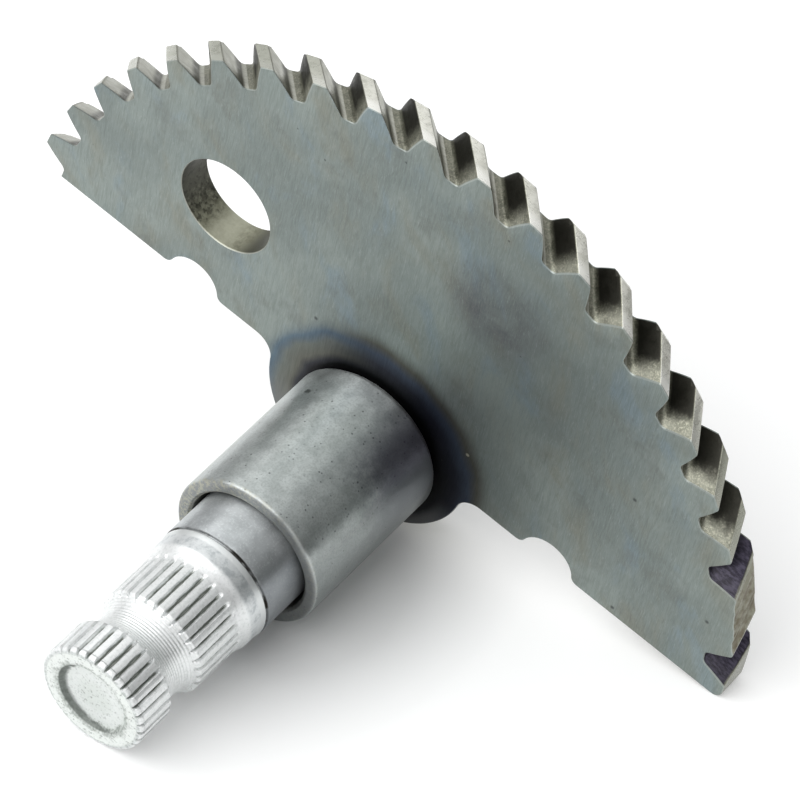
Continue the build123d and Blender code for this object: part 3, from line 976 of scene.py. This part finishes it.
# %% Lathe marks and dents on the shaft
lathe_pitch = 0.34
past_neck_start = f.ramp(z, neck_from, 36.8)
on_neck = f.both(past_neck_start, f.ramp(z, neck_to, 41.3), 0.7)
brush = f.math("MAXIMUM", f.ramp(z, 26.2, 26.6, 1.0, 0.7), on_neck)
no_splines = f.math("MAXIMUM", f.ramp(z, 30.2, 29.8), past_neck_start)
f.brushed(shaft_way, f.both(brush, no_splines, 0.95))
lathe = f.math("SINE", f.both(z, 2 * pi / lathe_pitch))
turned_rings = f.bump(f.both(lathe, f.band(z, neck_from, 36.9, 41.2, neck_to)), 0.9, 0.03)
struck = f.bump(f.both(f.noise(1.3, 5.0, 0.7), end_face), 0.6, 0.3, turned_rings)
f.to_shader(f.ramp(z, 28.4, 29.4, 0.9, 0.72), f.ramp(z, 26.3, 27.4, 0.37, 0.45),
            f.bump(grit, 0.35, 0.05, struck))
print("turning rings every", lathe_pitch, "mm in the neck")

# %% [markdown]
# Each surface now gets its finishes, rides on the part's one body and takes the place of its solid.

# %% Put the pieces in place
for piece, node, slot, finishes in (
        (sector, "sector_gear", "sector_steel", (plate_steel, tooth_steel, wall_steel)),
        (shaft, "kick_shaft", "shaft_zinc", (shaft_finish,)),
        (sleeve, "spring_sleeve", "sleeve_steel", (sleeve_steel,))):
    for finish in finishes:
        piece.data.materials.append(finish.material)
    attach(piece, "root")
    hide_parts(node)
print("pieces:", sector.name, shaft.name, sleeve.name)

# %% [markdown]
# ## Studio
#
# The part lies on white paper. A wide soft light stands at the front, high up, and a small fill
# light low at the right. The rest of the room is a dim tent, lightest overhead and on the left. The
# fine turning marks on the sleeve and the journal stretch both lights into long bright bands, with
# dark ones between. The paper is backlit for the camera and for reflections, from a little way off
# the part outwards, so it reads as white and the part's soft shadow stays.

# %% White paper floor
floor_mesh = bpy.data.meshes.new("floor")
floor_mesh.from_pydata([(-4, -4, 0), (4, -4, 0), (4, 4, 0), (-4, 4, 0)], [], [(0, 1, 2, 3)])
floor = bpy.data.objects.new("floor", floor_mesh)
bpy.context.scene.collection.objects.link(floor)
white_paper = bpy.data.materials.new("white_paper")
white_paper.use_nodes = True
paper = Nodes(white_paper.node_tree)
rays = paper.node("ShaderNodeLightPath", {}).outputs
seen = paper.math("MAXIMUM", rays["Is Camera Ray"], rays["Is Glossy Ray"])
seen = paper.math("MAXIMUM", seen, rays["Is Transmission Ray"])
oval = paper.mapping(paper.node("ShaderNodeTexCoord", {}).outputs["Object"], Scale=(1.7, 1, 1))
from_shadow = paper.vector_math("DISTANCE", oval, (0.0085, 0.006, 0))
glow = paper.stops(from_shadow, ((0.0, 0.0), (0.011, 0.0), (0.030, 0.22), (0.1, 0.32)))
paper.wire(paper.tree.nodes["Principled BSDF"], {
    "Base Color": (0.80, 0.805, 0.805, 1), "Roughness": 0.9, "Specular IOR Level": 0.1,
    "Emission Color": (1, 1, 1, 1), "Emission Strength": paper.both(glow, seen)})
floor_mesh.materials.append(white_paper)
print("paper lit to the camera away from the part")

# %% White tent
world = bpy.data.worlds.new("studio")
bpy.context.scene.world = world
world.use_nodes = True
room = Nodes(world.node_tree)
direction = room.node("ShaderNodeTexCoord", {}).outputs["Generated"]
overhead = room.vector_math("DOT_PRODUCT", direction, Vector((-0.25, 0.0, 0.97)).normalized())
leftward = room.vector_math("DOT_PRODUCT", direction, (-1, 0, 0))
tent = room.math("ADD", room.ramp(overhead, 0.15, 0.95, 0.0, 0.6),
                 room.ramp(leftward, -1.0, 1.0, 0.16, 0.42))
room.wire(room.tree.nodes["Background"], {"Strength": tent, "Color": (1, 1, 1, 1)})
print("tent lightest overhead and on the left")


# %% Soft light at the front, and a small fill light
def area_light(name, azimuth, elevation, wide, high, strength):
    """A rectangle of light that faces the part from a compass angle and a height in degrees. Its
    power is pi times its area times its strength."""
    distance = 0.9
    azimuth, elevation = radians(azimuth), radians(elevation)
    way = Vector((cos(elevation) * cos(azimuth), cos(elevation) * sin(azimuth), sin(elevation)))
    data = bpy.data.lights.new(name, "AREA")
    data.shape = "RECTANGLE"
    data.size, data.size_y = wide, high
    data.energy = pi * wide * high * strength
    light = bpy.data.objects.new(name, data)
    bpy.context.scene.collection.objects.link(light)
    light.location = way * distance
    light.rotation_euler = way.to_track_quat("Z", "Y").to_euler()
    print(name, "at", [round(v, 3) for v in light.location], "power", round(data.energy, 2))


area_light("soft_light", -114, 50, 1.25, 0.8, 2.1)
area_light("fill_light", -42, 28, 0.5, 0.5, 1.1)

# %% [markdown]
# ## Camera
#
# The photo was taken from the front, high at the right, with a long lens. The camera's place and its
# two axes were fitted to the part's own corners, so they are given as numbers and not aimed by eye.

# %% Camera
camera_data = bpy.data.cameras.new("camera")
camera_data.sensor_width = 36
camera_data.lens = 208.483
camera_data.clip_start = 0.01
camera = bpy.data.objects.new("camera", camera_data)
bpy.context.scene.collection.objects.link(camera)
camera_place = np.array([212.060, -288.084, 332.232]) * MM
look = np.array([-0.430086, 0.633136, -0.643556])
right_way = np.array([0.800300, 0.597274, 0.0527659])
up_way = np.cross(right_way, look)
camera.matrix_world = Matrix([
    [right_way[i], up_way[i], -look[i], camera_place[i]] for i in range(3)] + [[0, 0, 0, 1]])
bpy.context.scene.camera = camera
bpy.context.scene.view_settings.view_transform = "Standard"
print("camera at", camera_place.round(4), "lens", camera_data.lens)
